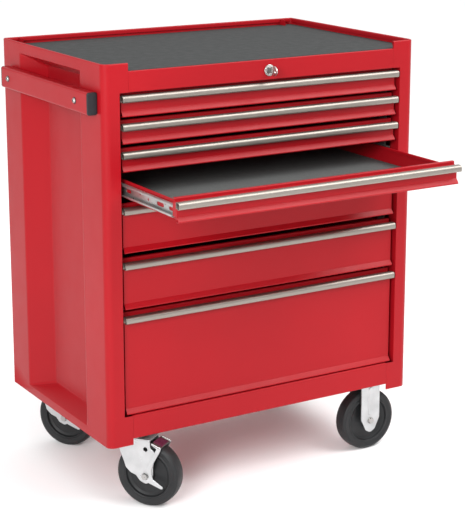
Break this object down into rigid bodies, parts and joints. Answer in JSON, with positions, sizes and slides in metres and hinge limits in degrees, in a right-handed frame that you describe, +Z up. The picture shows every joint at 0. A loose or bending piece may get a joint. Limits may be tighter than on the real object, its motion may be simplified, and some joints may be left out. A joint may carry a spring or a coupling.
{
  "type": "rolling tool chest",
  "caption": "Steel tool chest on castors, with a stack of full-width drawers on slides, a lined top tray with raised edges, a side handle and a key lock.",
  "frame": {"origin": "centre of the bottom of the rest-pose box, on the floor under the wheels; the rest pose has the fourth drawer 200 mm open", "axes": "+X to the right seen from the front, +Y from the drawer fronts to the back, +Z up"},
  "size_m": [0.7038, 0.6438, 0.8475],
  "materials": {
    "red_paint": "gloss powder coat",
    "mat": "matte ribbed",
    "aluminium": "satin anodised",
    "zinc": "bright zinc plate",
    "wheel": "matte moulded",
    "cap": "fine matte",
    "chrome": "polished nickel plate"
  },
  "bodies": {
    "cabinet": {"side_left": "red_paint", "side_right": "red_paint", "back_panel": "red_paint", "top_tray": "red_paint", "base_pan": "red_paint", "top_mat": "mat", "slide_rack_left": "zinc", "slide_rack_right": "zinc", "handle_bar": "red_paint", "handle_cap_front": "cap", "handle_cap_rear": "cap", "handle_bolt_front": "chrome", "handle_bolt_rear": "chrome", "lock_housing": "chrome", "castor_front_right_bracket": "zinc", "castor_front_right_axle": "chrome", "castor_back_right_bracket": "zinc", "castor_back_right_axle": "chrome", "castor_front_left_plate": "zinc", "castor_back_left_plate": "zinc"},
    "drawer_1": {"drawer_1_box": "red_paint", "drawer_1_pull": "aluminium", "drawer_1_slide_left": "zinc", "drawer_1_slide_right": "zinc"},
    "drawer_2": {"drawer_2_box": "red_paint", "drawer_2_pull": "aluminium", "drawer_2_slide_left": "zinc", "drawer_2_slide_right": "zinc"},
    "drawer_3": {"drawer_3_box": "red_paint", "drawer_3_pull": "aluminium", "drawer_3_slide_left": "zinc", "drawer_3_slide_right": "zinc"},
    "drawer_4": {"drawer_4_box": "red_paint", "drawer_4_pull": "aluminium", "drawer_4_slide_left": "zinc", "drawer_4_slide_right": "zinc"},
    "drawer_5": {"drawer_5_box": "red_paint", "drawer_5_pull": "aluminium", "drawer_5_slide_left": "zinc", "drawer_5_slide_right": "zinc"},
    "drawer_6": {"drawer_6_box": "red_paint", "drawer_6_pull": "aluminium", "drawer_6_slide_left": "zinc", "drawer_6_slide_right": "zinc"},
    "drawer_7": {"drawer_7_box": "red_paint", "drawer_7_pull": "aluminium", "drawer_7_slide_left": "zinc", "drawer_7_slide_right": "zinc"},
    "lock_plug": {"lock_cylinder": "chrome", "lock_key": "chrome"},
    "swivel_front_left": {"castor_front_left_fork": "zinc", "castor_front_left_axle": "chrome"},
    "wheel_front_left": {"castor_front_left_wheel": "wheel"},
    "brake_front_left": {"castor_front_left_brake": "zinc"},
    "swivel_back_left": {"castor_back_left_fork": "zinc", "castor_back_left_axle": "chrome"},
    "wheel_back_left": {"castor_back_left_wheel": "wheel"},
    "brake_back_left": {"castor_back_left_brake": "zinc"},
    "wheel_front_right": {"castor_front_right_wheel": "wheel"},
    "wheel_back_right": {"castor_back_right_wheel": "wheel"}
  },
  "joints": [
    {"name": "drawer_1_slide", "type": "slide", "parent": "cabinet", "child": "drawer_1", "axis": [0, -1, 0], "range_m": [0, 0.3]},
    {"name": "drawer_2_slide", "type": "slide", "parent": "cabinet", "child": "drawer_2", "axis": [0, -1, 0], "range_m": [0, 0.3]},
    {"name": "drawer_3_slide", "type": "slide", "parent": "cabinet", "child": "drawer_3", "axis": [0, -1, 0], "range_m": [0, 0.3]},
    {"name": "drawer_4_slide", "type": "slide", "parent": "cabinet", "child": "drawer_4", "axis": [0, -1, 0], "range_m": [-0.2, 0.1]},
    {"name": "drawer_5_slide", "type": "slide", "parent": "cabinet", "child": "drawer_5", "axis": [0, -1, 0], "range_m": [0, 0.3]},
    {"name": "drawer_6_slide", "type": "slide", "parent": "cabinet", "child": "drawer_6", "axis": [0, -1, 0], "range_m": [0, 0.3]},
    {"name": "drawer_7_slide", "type": "slide", "parent": "cabinet", "child": "drawer_7", "axis": [0, -1, 0], "range_m": [0, 0.3]},
    {"name": "lock_turn", "type": "hinge", "parent": "cabinet", "child": "lock_plug", "pos_m": [0.0159, -0.1181, 0.8125], "axis": [0, 1, 0], "range_deg": [0, 90]},
    {"name": "front_left_swivel", "type": "hinge", "parent": "cabinet", "child": "swivel_front_left", "pos_m": [-0.2521, -0.0761, 0.1375], "axis": [0, 0, 1], "continuous": true},
    {"name": "front_left_roll", "type": "hinge", "parent": "swivel_front_left", "child": "wheel_front_left", "pos_m": [-0.2341, -0.1001, 0.0635], "axis": [0.8, 0.6, 0], "continuous": true},
    {"name": "front_left_brake_press", "type": "hinge", "parent": "swivel_front_left", "child": "brake_front_left", "pos_m": [-0.2341, -0.1001, 0.0635], "axis": [0.8, 0.6, 0], "range_deg": [0, 14]},
    {"name": "back_left_swivel", "type": "hinge", "parent": "cabinet", "child": "swivel_back_left", "pos_m": [-0.2521, 0.2799, 0.1375], "axis": [0, 0, 1], "continuous": true},
    {"name": "back_left_roll", "type": "hinge", "parent": "swivel_back_left", "child": "wheel_back_left", "pos_m": [-0.2341, 0.2559, 0.0635], "axis": [0.8, 0.6, 0], "continuous": true},
    {"name": "back_left_brake_press", "type": "hinge", "parent": "swivel_back_left", "child": "brake_back_left", "pos_m": [-0.2341, 0.2559, 0.0635], "axis": [0.8, 0.6, 0], "range_deg": [0, 14]},
    {"name": "front_right_roll", "type": "hinge", "parent": "cabinet", "child": "wheel_front_right", "pos_m": [0.2809, -0.0741, 0.0635], "axis": [0, 1, 0], "continuous": true},
    {"name": "back_right_roll", "type": "hinge", "parent": "cabinet", "child": "wheel_back_right", "pos_m": [0.2809, 0.2779, 0.0635], "axis": [0, 1, 0], "continuous": true}
  ]
}
